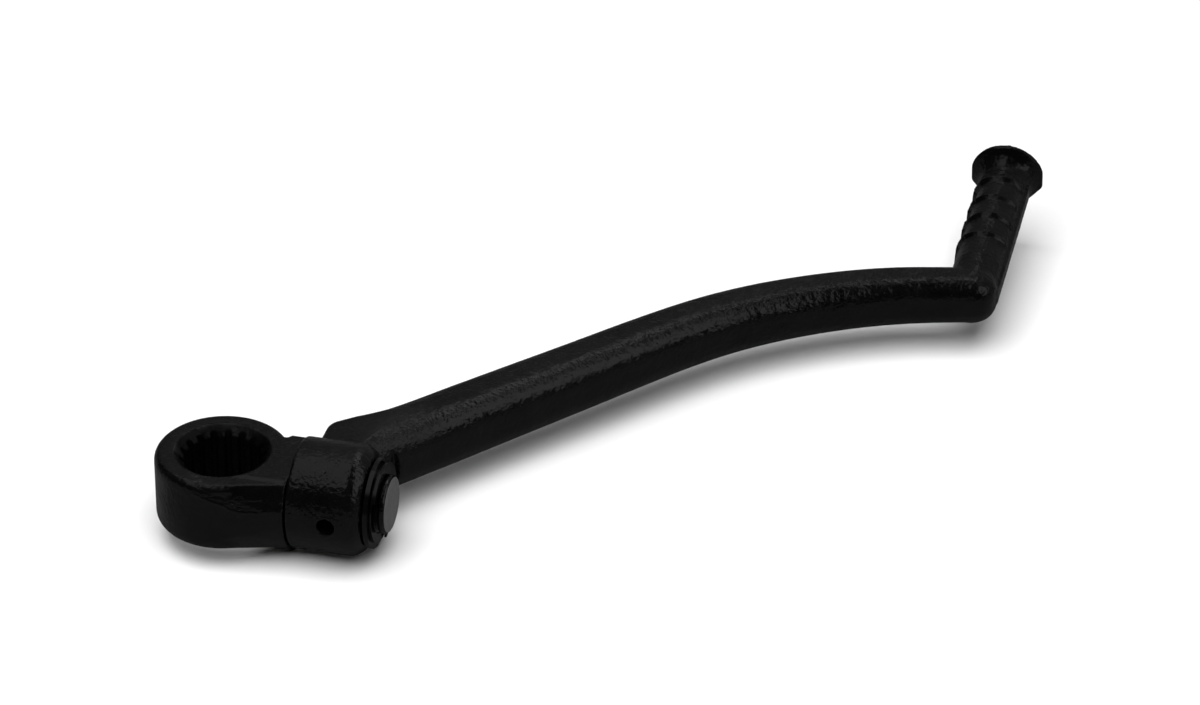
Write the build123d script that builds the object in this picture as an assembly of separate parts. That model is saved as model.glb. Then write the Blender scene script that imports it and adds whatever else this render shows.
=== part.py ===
from build123d import *
import os
from math import acos, atan2, cos, radians, sin, sqrt

# Kick start lever, folded flat as it is stowed.
# Z is the kick shaft's axis, outboard up. X is the axis that the arm swings about on the hub's pivot stub.
# The two axes cross at the origin, inside the hub's eye. All sizes are in millimetres.

# Eye of the hub, with its internal spline
eye_radius = 15.9
eye_top = 8.5
eye_bottom = 9.6
eye_top_edge = 2.0
eye_bottom_edge = 2.8
spline_teeth = 18
spline_tip_radius = 9.0
spline_root_radius = 10.1
spline_mouth_radius = 11.2
groove_root_share = 0.40
groove_tip_share = 0.56

# Neck and collar, which carry the folding joint
joint_x = 18.3
collar_radius = 13.3
collar_drop = 1.5
collar_set_back = 1.2
collar_length = 4.6
collar_flank = 4.5
collar_edge = 0.3
neck_root_radius = 17.4
neck_back_width = 9.1
neck_back_blend = 3.0

# Pivot stub, turned on the end of the collar
stub_radius = 7.0
stub_end_x = 40.8
stub_chamfer = 0.7
ring_groove_depth = 0.8

# Clearances of the folding joint
running_clearance = 0.05
joint_gap = 0.2
axial_clearance = 0.08

# Barrel of the arm
barrel_radius = 13.1
barrel_length = 18.0
barrel_left_edge = 0.6
barrel_right_edge = 4.6
spot_face_radius = 15.6
seat_hole_radius = 2.1
seat_hole_x = 28.4

# Washers and snap ring
washer_radius = 10.7
washer_thickness = 1.1
spacer_radius = 9.3
spacer_thickness = 0.6
ring_radius = 9.8
ring_thickness = 0.5
ring_opening = 125.0
ring_turn = 31.0

# Web between the barrel and the arm
web_height = 16.6
web_heel = 1.7
web_heel_width = 18.3
web_heel_corner = 4.5
web_back_heading = 40.0
web_edge = 1.6
web_fillet = 2.4
web_front_inset = 9.0

# Arm: straight run, bend and elbow, with a section like a rounded square
arm_axis_x = 14.8
arm_heading = 50.0
arm_root_run = 20.0
arm_straight_run = 108.0
bend_radius = 120.0
bend_angle = 38.4
arm_root_size = 16.2
arm_bend_size = 14.2
arm_tip_size = 12.3
section_roundness = 0.74
straight_stations = 4
bend_stations = 5

# Foot peg, forged in one with the arm
peg_heading = 91.0
peg_lift = 6.0
peg_length = 50.0
elbow_radius = 6.35
peg_root_inset = 0.1
peg_core_radius = 6.15
peg_neck_radius = 5.95
peg_rib_radius = 7.0
peg_land_reach = 6.65
peg_land_height = 3.6
rib_count = 4
rib_pitch = 7.65
rib_near_side = 1.0
rib_far_side = 0.35
rib_sink = 0.5
rib_top_offset = 9.7
rib_end_x = 5.6
fin_thickness = 1.6
flange_radius = 9.25
flange_width = 17.9
flange_clip_reach = 7.7
flange_clip_angle = 45.0
flange_rim = 1.2
flange_flare = 4.4
flare_roundness = 1.2

# Detent ball and its spring, in a blind hole of the stub
ball_radius = 2.5
ball_clearance = 0.06
ball_ride_gap = 0.15
detent_hole_depth = 11.0
spring_wire_radius = 0.35
spring_coil_radius = 1.75
spring_turns = 4.5
spring_seat_gap = 0.03

# Places that follow from the sizes above
barrel_left_x = joint_x + joint_gap
barrel_right_x = barrel_left_x + barrel_length
washer_left_x = barrel_right_x + axial_clearance
spacer_left_x = washer_left_x + washer_thickness + axial_clearance
ring_left_x = spacer_left_x + spacer_thickness + axial_clearance
bore_radius = stub_radius + running_clearance
ring_groove_radius = stub_radius - ring_groove_depth
eye_height = eye_top + eye_bottom
web_half = web_height / 2
ball_z = -(bore_radius - ball_ride_gap - ball_radius)
detent_floor_z = detent_hole_depth - stub_radius
peg_base_radius = elbow_radius - peg_root_inset


def direction(heading):
    """Unit vector in the arm's plane, at this angle from the folding axis."""
    return Vector(cos(radians(heading)), sin(radians(heading)), 0)


def bar_along_x(radius, start, end):
    """A round bar on the folding axis, from start to end."""
    return extrude(Plane.YZ.offset(start) * Circle(radius), end - start)


def turned_about_x(*points):
    """A turned form on the folding axis, from (x, radius) points."""
    outline = Polyline(*points, close=True)
    return revolve(Plane.XY * make_face(outline), Axis.X)


def eye_body():
    """The round eye, with a rounded edge on both faces."""
    blank = Pos(0, 0, (eye_top - eye_bottom) / 2) * Cylinder(eye_radius, eye_height)
    rims = blank.edges().filter_by(GeomType.CIRCLE).sort_by(Axis.Z)
    body = fillet(rims[-1], eye_top_edge)
    rims = body.edges().filter_by(GeomType.CIRCLE).sort_by(Axis.Z)
    return fillet(rims[0], eye_bottom_edge)


def neck_body():
    """The neck: straight in front, narrower behind, and drawn down to the round collar like a cone."""
    reach = sqrt(joint_x ** 2 + collar_radius ** 2)
    tangent = atan2(-collar_radius, joint_x) - acos(eye_radius / reach)
    touch = (eye_radius * cos(tangent), eye_radius * sin(tangent))
    outline = Polyline(
        (0, 0), touch, (joint_x, -collar_radius), (joint_x, neck_back_width), (0, neck_back_width), close=True
    )
    plan = Circle(eye_radius - eye_top_edge) + make_face(outline)
    corner = plan.vertices().sort_by_distance((eye_radius, neck_back_width, 0))[0]
    plan = fillet(corner, neck_back_blend)
    block = extrude(Pos(0, 0, -eye_bottom) * plan, eye_height)
    cone = turned_about_x(
        (-eye_radius, 0), (-eye_radius, neck_root_radius), (0, neck_root_radius),
        (joint_x, collar_radius), (joint_x, 0),
    )
    return block & cone


def collar_body():
    """The collar that the arm's barrel runs against: round, set low and back, with a sloping flank."""
    flank_x = joint_x - collar_length
    root = eye_bottom - collar_drop
    collar = turned_about_x(
        (flank_x - collar_flank, 0), (flank_x - collar_flank, root), (flank_x, collar_radius),
        (joint_x, collar_radius), (joint_x, 0),
    )
    rims = collar.edges().filter_by(GeomType.CIRCLE).sort_by(Axis.X)
    collar = Pos(0, collar_set_back, -collar_drop) * fillet(rims[-1], collar_edge)
    above = Pos(0, 0, eye_top + collar_radius) * Box(3 * eye_radius, 3 * eye_radius, 2 * collar_radius)
    return collar - above


def spline_bore():
    """The splined bore: tip circle, a groove for each shaft tooth and a chamfered mouth at each end."""
    pitch = radians(360 / spline_teeth)
    root_half = pitch * groove_root_share / 2
    tip_half = pitch * groove_tip_share / 2
    depth = spline_root_radius - spline_tip_radius
    corners = (
        (spline_tip_radius - depth, -tip_half), (spline_root_radius, -root_half),
        (spline_root_radius, root_half), (spline_tip_radius - depth, tip_half),
    )
    groove = make_face(Polyline(*[(r * cos(a), r * sin(a)) for r, a in corners], close=True))
    profile = Circle(spline_tip_radius) + PolarLocations(0, spline_teeth) * groove
    bore = extrude(Pos(0, 0, -eye_bottom) * profile, eye_height)
    chamfer_depth = spline_mouth_radius - spline_tip_radius
    top_mouth = Pos(0, 0, eye_top - chamfer_depth / 2) * Cone(
        spline_tip_radius, spline_mouth_radius, chamfer_depth
    )
    bottom_mouth = Pos(0, 0, chamfer_depth / 2 - eye_bottom) * Cone(
        spline_mouth_radius, spline_tip_radius, chamfer_depth
    )
    return bore + top_mouth + bottom_mouth


def stub_body():
    """The pivot stub, with a chamfered end and the snap ring's groove."""
    groove_end = ring_left_x + ring_thickness + axial_clearance
    return turned_about_x(
        (joint_x - collar_length, 0), (joint_x - collar_length, stub_radius), (ring_left_x, stub_radius),
        (ring_left_x, ring_groove_radius), (groove_end, ring_groove_radius), (groove_end, stub_radius),
        (stub_end_x - stub_chamfer, stub_radius), (stub_end_x, stub_radius - stub_chamfer), (stub_end_x, 0),
    )


def spline_hub():
    """Eye, neck, collar and pivot stub: one forging, bored, splined and turned."""
    hub = eye_body() + neck_body() + collar_body() + stub_body()
    ball_hole = Pos(seat_hole_x, 0, detent_floor_z - detent_hole_depth / 2) * Cylinder(
        ball_radius + ball_clearance, detent_hole_depth
    )
    return hub - spline_bore() - ball_hole


def barrel_body():
    """The barrel that turns on the stub, with rounded ends."""
    blank = bar_along_x(barrel_radius, barrel_left_x, barrel_right_x)
    rims = blank.edges().filter_by(GeomType.CIRCLE).sort_by(Axis.X)
    body = fillet(rims[0], barrel_left_edge)
    rims = body.edges().filter_by(GeomType.CIRCLE).sort_by(Axis.X)
    return fillet(rims[-1], barrel_right_edge)


def arm_point(run, side=0.0):
    """A point on the arm's straight run, or beside it: positive is the back of the arm."""
    along = direction(arm_heading)
    across = direction(arm_heading + 90)
    return Vector(arm_axis_x, 0, 0) + along * run + across * side


def web_body():
    """The flat web behind the barrel, from its heel at the joint to the root of the arm."""
    heel_x = barrel_left_x + web_heel
    back = direction(web_back_heading)
    heel = Vector(heel_x, web_heel_width, 0)
    far = heel + back * (arm_straight_run / 4)
    front = arm_point(arm_root_run + arm_root_size)
    inner_x = barrel_right_x - web_front_inset
    outline = Polyline(
        (heel_x, 0), (heel.X, heel.Y), (far.X, far.Y), (front.X, front.Y), (inner_x, 0), close=True
    )
    plan = make_face(outline)
    plan = fillet(plan.vertices().sort_by_distance(heel)[0], web_heel_corner)
    slab = extrude(plan, web_half, both=True)
    faces = slab.faces().sort_by(Axis.Z)
    return fillet(faces[0].edges() + faces[-1].edges(), web_edge)


def web_fillets():
    """The forged fillets where the web's two flat sides run into the barrel."""
    reach = barrel_radius + web_fillet
    centre_y = sqrt(reach ** 2 - (web_half + web_fillet) ** 2)
    touch_y = centre_y * barrel_radius / reach
    touch_z = (web_half + web_fillet) * barrel_radius / reach
    strip = Pos((touch_y + centre_y) / 2, touch_z / 2) * Rectangle(centre_y - touch_y, touch_z)
    strip = strip - Pos(centre_y, web_half + web_fillet) * Circle(web_fillet)
    start = barrel_left_x + web_heel + web_edge
    end = barrel_right_x - web_front_inset
    upper = extrude(Plane.YZ.offset(start) * strip, end - start)
    return upper + mirror(upper, Plane.XY)


def arm_stations():
    """Centre, heading and size of each section along the arm."""
    stations = []
    for i in range(straight_stations + 1):
        share = i / straight_stations
        run = arm_root_run + share * (arm_straight_run - arm_root_run)
        size = arm_root_size + share * (arm_bend_size - arm_root_size)
        stations.append((arm_point(run), arm_heading, size))
    pivot = arm_point(arm_straight_run, -bend_radius)
    for i in range(1, bend_stations + 1):
        share = i / bend_stations
        heading = arm_heading - share * bend_angle
        size = arm_bend_size + share * (arm_tip_size - arm_bend_size)
        stations.append((pivot + direction(heading + 90) * bend_radius, heading, size))
    return stations


def arm_section(centre, heading, size):
    """One section of the arm, a rounded square across its run."""
    across = Plane(origin=centre, x_dir=direction(heading + 90), z_dir=direction(heading))
    return across * RectangleRounded(size, size, section_roundness * size / 2)


def arm_body():
    """The forged arm, with a rounded end at the elbow."""
    stations = arm_stations()
    bar = loft([arm_section(*station) for station in stations])
    centre, heading, size = stations[-1]
    elbow_section = RectangleRounded(2 * elbow_radius, size, section_roundness * size / 2)
    half_section = elbow_section & Pos(elbow_radius, 0) * Rectangle(2 * elbow_radius, 2 * size)
    elbow = revolve(Plane.XZ * half_section, Axis.Z)
    return bar + Pos(*centre) * elbow


def peg_core():
    """The peg's round body: a thicker base, the tapered core and the flared end flange."""
    rim_start = peg_length - flange_rim
    flare_start = rim_start - flange_flare
    base_top = peg_length - rib_top_offset - rib_count * rib_pitch
    side = Polyline(
        (0, 0), (peg_base_radius, 0), (peg_base_radius, base_top), (peg_core_radius, base_top),
        (peg_neck_radius, flare_start),
    )
    flare_radius = flare_roundness * flange_flare
    flare = RadiusArc((peg_neck_radius, flare_start), (flange_radius, rim_start), flare_radius)
    rest = Polyline((flange_radius, rim_start), (flange_radius, peg_length), (0, peg_length), (0, 0))
    core = revolve(Plane.XZ * make_face(side + flare + rest), Axis.Z)
    trimmed = Rectangle(flange_width, 3 * flange_radius)
    corner = Pos(0, flange_clip_reach + flange_radius) * Rectangle(3 * flange_radius, 2 * flange_radius)
    for turn in (-flange_clip_angle, flange_clip_angle):
        trimmed = trimmed - Rot(0, 0, turn) * corner
    return core & extrude(trimmed, peg_length)


def rib_crests():
    """Height of each ring's crest on the peg, the lowest first."""
    return [peg_length - rib_top_offset - i * rib_pitch for i in reversed(range(rib_count))]


def peg_rings():
    """The rings: a sloping near side, a sharp crest and a steep far side, up to the land on the right."""
    rise = peg_rib_radius - peg_core_radius
    foot = peg_core_radius - rib_sink
    spread = (rise + rib_sink) / rise
    rings = []
    for crest in rib_crests():
        triangle = Polyline(
            (foot, crest - rib_near_side * spread), (peg_rib_radius, crest),
            (foot, crest + rib_far_side * spread), close=True,
        )
        rings.append(revolve(Plane.XZ * make_face(triangle), Axis.Z))
    keep = Pos(rib_end_x - peg_length / 2, 0, peg_length / 2) * Box(peg_length, peg_length, peg_length)
    return [ring & keep for ring in rings]


def peg_fin():
    """The saw-toothed fin that the forging dies leave along the left side of the peg."""
    low = peg_length - rib_top_offset - rib_count * rib_pitch
    outline = [(0, low), (-peg_core_radius, low)]
    for crest in rib_crests():
        outline.append((-peg_rib_radius, crest))
        outline.append((-peg_core_radius, crest + rib_far_side))
    outline.append((0, outline[-1][1]))
    plate = make_face(Polyline(*outline, close=True))
    return extrude(Plane.XZ * plate, fin_thickness / 2, both=True)


def peg_body():
    """The foot peg: core and flange, rings, the fin on its left and the plain land on its right."""
    land_length = peg_length - flange_rim - flange_flare
    land = Pos(peg_land_reach / 2, 0, land_length / 2) * Box(peg_land_reach, peg_land_height, land_length)
    body = peg_core() + land + peg_fin()
    for ring in peg_rings():
        body = body + ring
    return body


def placed_peg():
    """The peg on the elbow, its lands lying in the arm's plane."""
    centre = arm_stations()[-1][0]
    flat = direction(peg_heading)
    axis = flat * cos(radians(peg_lift)) + Vector(0, 0, sin(radians(peg_lift)))
    return Plane(origin=centre, x_dir=direction(peg_heading - 90), z_dir=axis) * peg_body()


def lever_arm():
    """Barrel, web, arm and foot peg: one forging, with the barrel bored and faced."""
    arm = barrel_body() + web_body() + web_fillets() + arm_body() + placed_peg()
    bore = bar_along_x(bore_radius, barrel_left_x, barrel_right_x)
    spot_face = bar_along_x(spot_face_radius, barrel_right_x, barrel_right_x + 2 * arm_root_size)
    seat_hole = extrude(Plane.XZ * Pos(seat_hole_x, 0) * Circle(seat_hole_radius), barrel_radius)
    return arm - bore - spot_face - seat_hole


def thrust_washer():
    """Flat washer against the barrel's faced end."""
    disc = bar_along_x(washer_radius, washer_left_x, washer_left_x + washer_thickness)
    return disc - bar_along_x(bore_radius, washer_left_x, washer_left_x + washer_thickness)


def spacer_washer():
    """Smaller thin washer between the thrust washer and the snap ring."""
    disc = bar_along_x(spacer_radius, spacer_left_x, spacer_left_x + spacer_thickness)
    return disc - bar_along_x(bore_radius, spacer_left_x, spacer_left_x + spacer_thickness)


def snap_ring():
    """Open ring sprung into the stub's groove, its mouth towards the front and down."""
    left_x = ring_left_x + axial_clearance / 2
    inner = ring_groove_radius + running_clearance
    ring = Circle(ring_radius) - Circle(inner)
    half = radians(ring_opening / 2)
    reach = 3 * ring_radius
    corner = (-reach * cos(half), reach * sin(half))
    mouth = make_face(Polyline((0, 0), corner, (corner[0], -corner[1]), close=True))
    ring = ring - Rot(0, 0, ring_turn) * mouth
    return extrude(Plane.YZ.offset(left_x) * ring, ring_thickness)


def detent_ball():
    """Steel ball that snaps into the barrel's seat hole."""
    return Pos(seat_hole_x, 0, ball_z) * Sphere(ball_radius)


def detent_spring():
    """Coil spring between the ball and the floor of its hole."""
    contact = ball_radius + spring_wire_radius
    low = ball_z + sqrt(contact ** 2 - spring_coil_radius ** 2) + spring_seat_gap
    high = detent_floor_z - spring_wire_radius - spring_seat_gap
    path = Pos(seat_hole_x, 0, low) * Helix((high - low) / spring_turns, high - low, spring_coil_radius)
    wire = Plane(origin=path @ 0, z_dir=path % 0) * Circle(spring_wire_radius)
    return sweep(wire, path)


os.makedirs("parts", exist_ok=True)
pieces = (spline_hub, lever_arm, thrust_washer, spacer_washer, snap_ring, detent_ball, detent_spring)
for make_part in pieces:
    export_step(make_part(), f"parts/{make_part.__name__}.step")
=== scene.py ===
import math

import bpy
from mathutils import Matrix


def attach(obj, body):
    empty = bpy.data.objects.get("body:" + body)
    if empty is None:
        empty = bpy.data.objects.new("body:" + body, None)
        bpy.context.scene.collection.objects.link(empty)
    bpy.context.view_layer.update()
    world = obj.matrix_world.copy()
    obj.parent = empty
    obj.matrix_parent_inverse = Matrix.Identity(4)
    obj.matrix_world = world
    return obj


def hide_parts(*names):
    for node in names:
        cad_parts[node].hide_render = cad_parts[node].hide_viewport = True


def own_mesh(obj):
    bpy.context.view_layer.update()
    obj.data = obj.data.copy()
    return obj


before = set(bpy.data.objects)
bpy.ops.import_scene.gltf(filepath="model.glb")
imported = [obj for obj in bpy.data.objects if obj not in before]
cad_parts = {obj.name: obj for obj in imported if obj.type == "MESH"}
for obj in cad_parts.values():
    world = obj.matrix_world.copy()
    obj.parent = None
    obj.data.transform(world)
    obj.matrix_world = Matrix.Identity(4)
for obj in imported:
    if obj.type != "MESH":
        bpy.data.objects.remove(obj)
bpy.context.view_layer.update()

# Hub: one steel forging with eye, neck, collar and pivot stub, bored, splined and turned.
# It is sprayed black all over, so every edge is rounded by the forging die and the thick enamel;
# only the faced end of the stub is bare and pale.


def copied(node, name):
    """A copy of a CAD node with its triangles merged, to stand for it."""
    bpy.ops.object.select_all(action="DESELECT")
    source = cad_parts[node]
    source.select_set(True)
    bpy.context.view_layer.objects.active = source
    bpy.ops.object.duplicate()
    piece = bpy.context.object
    piece.name = name
    bpy.ops.object.mode_set(mode="EDIT")
    bpy.ops.mesh.select_all(action="SELECT")
    bpy.ops.mesh.remove_doubles(threshold=1e-6)
    bpy.ops.object.mode_set(mode="OBJECT")
    bpy.ops.mesh.customdata_custom_splitnormals_clear()
    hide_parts(node)
    return piece


def applied(piece, kind, **settings):
    """Gives the piece a modifier with these settings and applies it."""
    modifier = piece.modifiers.new(kind.lower(), kind)
    for setting, value in settings.items():
        setattr(modifier, setting, value)
    bpy.ops.object.modifier_apply(modifier=modifier.name)


def softened(node, name, voxel, rounds, kept_share, blends=()):
    """A copy of a CAD node with the rounded edges of a painted forging.

    The rounds of smoothing soften all of it. Each blend is a centre, a radius and more rounds there,
    in full over the inner half of the radius. The kept share is what thinning leaves of the triangles.
    """
    smoothing = 0.5
    piece = copied(node, name)
    applied(piece, "REMESH", mode="VOXEL", voxel_size=voxel)
    applied(piece, "SMOOTH", factor=smoothing, iterations=rounds)
    for centre, radius, more_rounds in blends:
        blend = piece.vertex_groups.new(name="blend")
        for vertex in piece.data.vertices:
            depth = 1 - math.dist(vertex.co, centre) / radius
            if depth > 0:
                blend.add([vertex.index], min(1, 2 * depth), "REPLACE")
        applied(piece, "SMOOTH", factor=smoothing, iterations=more_rounds, vertex_group=blend.name)
    applied(piece, "DECIMATE", ratio=kept_share)
    bpy.ops.object.shade_smooth()
    return piece


def object_place(tree):
    """Where a point lies on the piece, in the frame's metres."""
    return tree.nodes.new("ShaderNodeTexCoord").outputs["Object"]


def noise(tree, scale, detail, place):
    """The value of a noise texture, about 0.5 on average."""
    node = tree.nodes.new("ShaderNodeTexNoise")
    node.inputs["Scale"].default_value = scale
    node.inputs["Detail"].default_value = detail
    tree.links.new(place, node.inputs["Vector"])
    return node.outputs["Fac"]


def math_node(tree, operation, *values):
    """A math node with these numbers or sockets on its inputs."""
    node = tree.nodes.new("ShaderNodeMath")
    node.operation = operation
    for socket, value in zip(node.inputs, values):
        if isinstance(value, (int, float)):
            socket.default_value = value
        else:
            tree.links.new(value, socket)
    return node.outputs[0]


def ramp(tree, value, none_at, full_at):
    """0 where the value is at none_at or beyond it, 1 at full_at, and smooth between them."""
    node = tree.nodes.new("ShaderNodeMapRange")
    node.interpolation_type = "SMOOTHSTEP"
    node.inputs["From Min"].default_value = none_at
    node.inputs["From Max"].default_value = full_at
    tree.links.new(value, node.inputs["Value"])
    return node.outputs["Result"]


def mixed(tree, share, a, b):
    """Colour a where share is 0 and colour b where it is 1; each is a colour or a socket."""
    node = tree.nodes.new("ShaderNodeMix")
    node.data_type = "RGBA"
    tree.links.new(share, node.inputs["Factor"])
    for socket, colour in ((node.inputs["A"], a), (node.inputs["B"], b)):
        if isinstance(colour, bpy.types.NodeSocket):
            tree.links.new(colour, socket)
        else:
            socket.default_value = (*colour, 1)
    return node.outputs["Result"]


# Enamel skin, in millimetres of height: long sags of the forging, short waves and a fine orange peel.
# Its gloss is a roughness that drifts over the piece, as a hand-sprayed coat does.
sag_scale, wave_scale, peel_scale, gloss_scale = 70, 250, 1000, 150
gloss_drift, gloss_least = 0.14, 0.13
enamel_skin = bpy.data.node_groups.new("enamel_skin", "ShaderNodeTree")
for name in ("Sags", "Waves", "Peel"):
    enamel_skin.interface.new_socket(name, in_out="INPUT", socket_type="NodeSocketFloat")
for name in ("Height", "Gloss"):
    enamel_skin.interface.new_socket(name, in_out="OUTPUT", socket_type="NodeSocketFloat")
skin_in = enamel_skin.nodes.new("NodeGroupInput")
skin_out = enamel_skin.nodes.new("NodeGroupOutput")
place = object_place(enamel_skin)
height = math_node(enamel_skin, "MULTIPLY", noise(enamel_skin, sag_scale, 1, place), skin_in.outputs["Sags"])
for scale, detail, amount in ((wave_scale, 3, "Waves"), (peel_scale, 2, "Peel")):
    finer = noise(enamel_skin, scale, detail, place)
    height = math_node(enamel_skin, "MULTIPLY_ADD", finer, skin_in.outputs[amount], height)
enamel_skin.links.new(height, skin_out.inputs["Height"])
drift = noise(enamel_skin, gloss_scale, 3, place)
gloss = math_node(enamel_skin, "MULTIPLY_ADD", drift, gloss_drift, gloss_least)
enamel_skin.links.new(gloss, skin_out.inputs["Gloss"])


def enamel(name, black, sags, waves, peel):
    """Gloss black enamel, paler where it is duller: its material, shader and skin node."""
    material = bpy.data.materials.new(name)
    material.use_nodes = True
    tree = material.node_tree
    shader = tree.nodes["Principled BSDF"]
    coat = tree.nodes.new("ShaderNodeGroup")
    coat.node_tree = enamel_skin
    for amount, value in (("Sags", sags), ("Waves", waves), ("Peel", peel)):
        coat.inputs[amount].default_value = value
    glossiest, dullest = 0.17, 0.23
    thin = ramp(tree, coat.outputs["Gloss"], glossiest, dullest)
    deep_black = (0.6 * black, 0.6 * black, 0.65 * black)
    pale_black = (1.5 * black, 1.5 * black, 1.6 * black)
    tree.links.new(mixed(tree, thin, deep_black, pale_black), shader.inputs["Base Color"])
    tree.links.new(coat.outputs["Gloss"], shader.inputs["Roughness"])
    millimetre = 0.001
    bump = tree.nodes.new("ShaderNodeBump")
    bump.inputs["Distance"].default_value = millimetre
    tree.links.new(coat.outputs["Height"], bump.inputs["Height"])
    tree.links.new(bump.outputs["Normal"], shader.inputs["Normal"])
    return material, shader, coat


hub = softened("spline_hub", "hub_forging", voxel=0.00026, rounds=8, kept_share=0.5)
hub_paint, shader, coat = enamel("hub_enamel", black=0.0008, sags=0.5, waves=0.4, peel=0.13)
tree = hub_paint.node_tree
place = object_place(tree)
axes = tree.nodes.new("ShaderNodeSeparateXYZ")
tree.links.new(place, axes.inputs["Vector"])
x, y, z = (axes.outputs[axis] for axis in "XYZ")

# The end of the stub is faced after painting.
paint_ends, steel_starts = 0.0405, 0.04065
bare_grey = (0.075, 0.075, 0.075)
bare = ramp(tree, x, paint_ends, steel_starts)
painted = shader.inputs["Base Color"].links[0].from_socket
tree.links.new(mixed(tree, bare, painted, bare_grey), shader.inputs["Base Color"])

# The spline's mouth was masked, so it is dull and dark, with smears of paint on its upper rim.
masked_radius, painted_radius = 0.0112, 0.0118
rim_foot, rim_top = 0.0055, 0.0065
smear_scale, smear_least, smear_full = 130, 0.47, 0.6
masked_shine, painted_shine, masked_rough = 0.15, 0.5, 0.4
from_shaft = math_node(tree, "MULTIPLY_ADD", y, y, math_node(tree, "MULTIPLY", x, x))
outside = ramp(tree, math_node(tree, "SQRT", from_shaft), masked_radius, painted_radius)
smear = ramp(tree, noise(tree, smear_scale, 2, place), smear_least, smear_full)
smear = math_node(tree, "MULTIPLY", smear, ramp(tree, z, rim_foot, rim_top))
smear = math_node(tree, "MAXIMUM", outside, smear)
shine = math_node(tree, "MULTIPLY_ADD", smear, painted_shine - masked_shine, masked_shine)
tree.links.new(shine, shader.inputs["Specular IOR Level"])
dull = math_node(tree, "MULTIPLY_ADD", outside, -masked_rough, masked_rough)
dull = math_node(tree, "MAXIMUM", dull, bare)
tree.links.new(math_node(tree, "MAXIMUM", coat.outputs["Gloss"], dull), shader.inputs["Roughness"])

# The die left a ragged edge across the front of the neck; above it the flank leans back to the eye's top.
# The edge falls from the eye and then runs nearly level to the collar. Its lip and lean are in millimetres.
fall_slope, fall_start = -0.405, 0.0053
level_slope, level_start = 0.05, 0.00175
ragged_scale, ragged_width = 380, 0.0016
lip_reach, lip_crest, lip_height = 0.0006, 0.0001, 0.07
lean_reach, lean_slope = 0.0024, -280
flank_starts, flank_full = -0.0085, -0.0105
neck_starts, neck_full = -0.004, 0.0005
edge = math_node(tree, "MULTIPLY_ADD", x, fall_slope, fall_start)
edge = math_node(tree, "MAXIMUM", edge, math_node(tree, "MULTIPLY_ADD", x, level_slope, level_start))
ragged = noise(tree, ragged_scale, 2, place)
ragged = math_node(tree, "MULTIPLY_ADD", ragged, ragged_width, -ragged_width / 2)
above = math_node(tree, "SUBTRACT", z, math_node(tree, "ADD", edge, ragged))
lip = ramp(tree, math_node(tree, "ABSOLUTE", above), lip_reach, lip_crest)
lean = math_node(tree, "MINIMUM", math_node(tree, "MAXIMUM", above, 0), lean_reach)
lean = math_node(tree, "MULTIPLY", lean, lean_slope)
lean = math_node(tree, "MULTIPLY_ADD", lip, lip_height, lean)
lean = math_node(tree, "MULTIPLY", lean, ramp(tree, y, flank_starts, flank_full))
lean = math_node(tree, "MULTIPLY", lean, ramp(tree, x, neck_starts, neck_full))
height = math_node(tree, "ADD", lean, coat.outputs["Height"])
tree.links.new(height, tree.nodes["Bump"].inputs["Height"])
hub.material_slots[0].material = hub_paint
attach(hub, "hub")

# Detent spring: a coil of drawn spring wire, bare and a little oily, set into the blind hole of the stub.
# Its upper end stays on the hole's floor and the ball presses the coil together by up to 0.6 mm.


def bare_steel(name, colour, rough, scale):
    """Bare steel with a fine grain in its colour, its roughness and its surface."""
    material = bpy.data.materials.new(name)
    material.use_nodes = True
    tree = material.node_tree
    shader = tree.nodes["Principled BSDF"]
    shader.inputs["Metallic"].default_value = 1.0
    grain = noise(tree, scale, 3, object_place(tree))
    worn = [0.8 * channel for channel in colour]
    tree.links.new(mixed(tree, grain, worn, colour), shader.inputs["Base Color"])
    grain_rough = 0.1
    tree.links.new(math_node(tree, "MULTIPLY_ADD", grain, grain_rough, rough), shader.inputs["Roughness"])
    bump = tree.nodes.new("ShaderNodeBump")
    bump.inputs["Strength"].default_value = 0.2
    bump.inputs["Distance"].default_value = 0.00002
    tree.links.new(grain, bump.inputs["Height"])
    tree.links.new(bump.outputs["Normal"], shader.inputs["Normal"])
    return material


spring = copied("detent_spring", "spring_coil")
bpy.ops.object.shade_smooth_by_angle(angle=math.radians(40))
spring.material_slots[0].material = bare_steel("wire_grey", colour=(0.4, 0.4, 0.41), rough=0.25, scale=4000)
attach(spring, "hub")
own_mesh(spring)

# Detent ball: a hardened and polished bearing ball under the barrel, free in its hole in the stub.
# It is bare steel with the fine haze that rolling in the bore leaves.
ball_bright = bare_steel("ball_bright", colour=(0.6, 0.6, 0.61), rough=0.08, scale=1500)
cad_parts["detent_ball"].material_slots[0].material = ball_bright

# Arm: one steel forging from the barrel, which turns on the stub, to the foot peg, in the hub's enamel.
# Scale left from the forge shows as a patch of coarse grain on the bend. Little spray reached the corner
# behind the barrel, where the paint is dry and finely rough.
web_blends = [((0.035, 0.0225, 0.0082), 0.009, 150), ((0.0385, 0.031, 0.0081), 0.010, 150)]
arm = softened("lever_arm", "arm_forging", voxel=0.0003, rounds=3, kept_share=0.45, blends=web_blends)
arm_paint, shader, coat = enamel("arm_enamel", black=0.0008, sags=0.6, waves=0.36, peel=0.14)
tree = arm_paint.node_tree
place = object_place(tree)


def distance(tree, place, point):
    """How far a place on the piece is from a point."""
    node = tree.nodes.new("ShaderNodeVectorMath")
    node.operation = "DISTANCE"
    node.inputs[1].default_value = point
    tree.links.new(place, node.inputs[0])
    return node.outputs["Value"]


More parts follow.
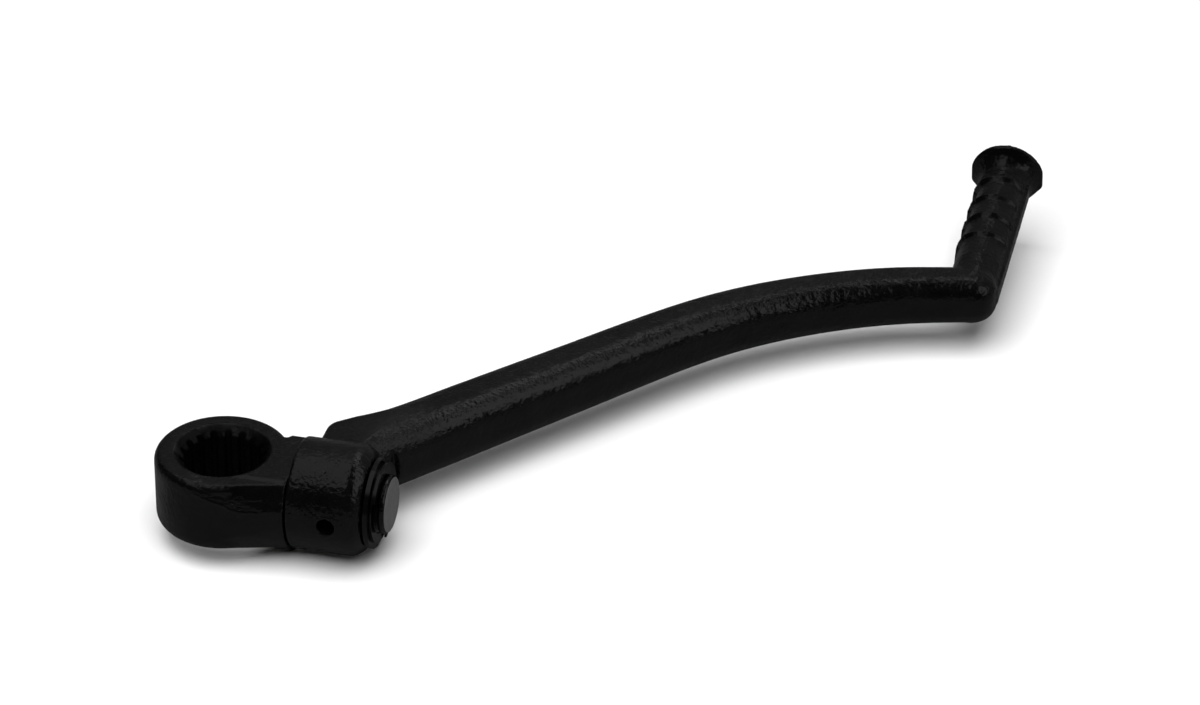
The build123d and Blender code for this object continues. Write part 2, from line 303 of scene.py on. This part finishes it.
bend, bend_reach, bend_core = (0.112, 0.100, 0.006), 0.04, 0.012
grain_scale, grain_height = 620, 0.35
corner, corner_reach, corner_core = (0.037, 0.018, 0.006), 0.017, 0.006
dust_scale, dust_height = 2600, 0.12
near_bend = ramp(tree, distance(tree, place, bend), bend_reach, bend_core)
grain = math_node(tree, "MULTIPLY", noise(tree, grain_scale, 3, place), near_bend)
height = math_node(tree, "MULTIPLY_ADD", grain, grain_height, coat.outputs["Height"])
dry = ramp(tree, distance(tree, place, corner), corner_reach, corner_core)
dust = math_node(tree, "MULTIPLY", noise(tree, dust_scale, 1, place), dry)
height = math_node(tree, "MULTIPLY_ADD", dust, dust_height, height)
tree.links.new(height, tree.nodes["Bump"].inputs["Height"])
arm.material_slots[0].material = arm_paint
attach(arm, "arm")

# Thrust washer, spacer washer and snap ring: stamped and blackened spring steel on the stub's end.
# The ring snaps into the stub's groove and keeps the arm on; all three are thinly painted with the lever.
ring_black = enamel("ring_black", black=0.0009, sags=0.05, waves=0.04, peel=0.02)[0]
for name in ("thrust_washer", "spacer_washer", "snap_ring"):
    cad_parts[name].material_slots[0].material = ring_black

# Studio: a table of white paper under the lever and a white backdrop behind it, both far larger than it.
# A grey card beside the peg is painted shade: out of the camera's sight, casting no shadow and lighting
# nothing, it only darkens the paint's reflections on the peg and bend.
table_top = -0.0149
sheet_size = 8
bpy.ops.mesh.primitive_plane_add(size=sheet_size, location=(0, 0, table_top))
table = bpy.context.object
table.name = "table"


def white_sheet(name, mirrored, painted_top_light=0.0):
    """Matt white to the eye; to glossy rays alone it is dimmer, so its mirror image in the paint is darker
    than the paper looks.

    The last argument is painted light: how much the mirror image brightens towards the top of an upright
    sheet.
    """
    paper_white = 0.8
    gain_starts, gain_full = 1.4, 3.2
    material = bpy.data.materials.new(name)
    material.use_nodes = True
    tree = material.node_tree
    shader = tree.nodes["Principled BSDF"]
    rays = tree.nodes.new("ShaderNodeLightPath")
    axes = tree.nodes.new("ShaderNodeSeparateXYZ")
    tree.links.new(object_place(tree), axes.inputs["Vector"])
    # Painted light: the mirror image of an upright sheet brightens towards its top; to glossy rays the sheet
    # is also dimmer than white.
    gain = ramp(tree, axes.outputs["Y"], gain_starts, gain_full)
    level = math_node(tree, "MULTIPLY_ADD", gain, painted_top_light, mirrored)
    dimmer = math_node(tree, "SUBTRACT", paper_white, level)
    dimmer = math_node(tree, "MULTIPLY", dimmer, rays.outputs["Is Glossy Ray"])
    tree.links.new(math_node(tree, "SUBTRACT", paper_white, dimmer), shader.inputs["Base Color"])
    shader.inputs["Roughness"].default_value = 1.0
    shader.inputs["Specular IOR Level"].default_value = 0.0
    return material


table.data.materials.append(white_sheet("table_white", mirrored=0.08))
upright = math.radians(90)
bpy.ops.mesh.primitive_plane_add(size=sheet_size, location=(0, 2.2, 0), rotation=(upright, 0, 0))
wall = bpy.context.object
wall.name = "backdrop"
# The backdrop's mirror image in the paint brightens towards its top: painted light.
wall.data.materials.append(white_sheet("backdrop_white", mirrored=0.115, painted_top_light=0.35))
# Painted shade: the card is seen only in the paint, where it hides the right softbox from the peg and the
# bend.
card_place, card_turn = (0.2155, 0.3255, 0.185), math.radians(115.7)
card_width, card_height = 0.42, 0.4
bpy.ops.mesh.primitive_plane_add(size=1, location=card_place, rotation=(upright, 0, card_turn))
card = bpy.context.object
card.name = "peg_shade_card"
card.scale = (card_width, card_height, 1)
card.data.materials.append(white_sheet("reflection_shade_grey", mirrored=0.12))
card.visible_camera = card.visible_diffuse = card.visible_shadow = False

# Lamps: one large softbox overhead lights the paper and makes the shadow, and isn't mirrored in the paint.
# Two dim ones, right and left, are only there to be mirrored: they draw the bands of light on the enamel.


def softbox(name, place, aim, size, energy):
    """A flat rectangular lamp at a place, turned to face another point."""
    lamp = bpy.data.lights.new(name, "AREA")
    lamp.shape = "RECTANGLE"
    lamp.size, lamp.size_y = size
    lamp.energy = energy
    box = bpy.data.objects.new(name, lamp)
    box.location = place
    way_x, way_y, way_z = (a - p for a, p in zip(aim, place))
    box.rotation_euler = (math.atan2(math.hypot(way_x, way_y), -way_z), 0, math.atan2(-way_x, way_y))
    bpy.context.scene.collection.objects.link(box)
    return box


overhead = softbox("overhead", place=(0.1, -0.9, 2.3), aim=(0.07, 0.06, 0), size=(2.6, 2.6), energy=120.0)
overhead.visible_glossy = False
right = softbox("right_softbox", place=(1.507, 0.169, 1.135), aim=(0.643, -0.567, 0),
                size=(4.1, 1.485), energy=11.0)
left = softbox("left_softbox", place=(-0.35, -0.125, 1.4), aim=(0.0, -0.125, 0),
               size=(1.85, 0.85), energy=2.0)
right.visible_diffuse = left.visible_diffuse = False

# Camera and room: a long lens in front of the lever and above it, in a nearly dark room.
lens = bpy.data.cameras.new("camera")
lens.lens = 180
lens.sensor_width = 36
lens.clip_end = 20
camera = bpy.data.objects.new("camera", lens)
camera.location = (0.37307, -1.10145, 0.77401)
camera.rotation_euler = (math.radians(57.5), 0, math.radians(14.4))
bpy.context.scene.collection.objects.link(camera)
bpy.context.scene.camera = camera
room_light = (0.02, 0.02, 0.02, 1)
room = bpy.data.worlds.new("room")
room.use_nodes = True
room.node_tree.nodes["Background"].inputs["Color"].default_value = room_light
bpy.context.scene.world = room
bpy.context.scene.view_settings.view_transform = "Standard"
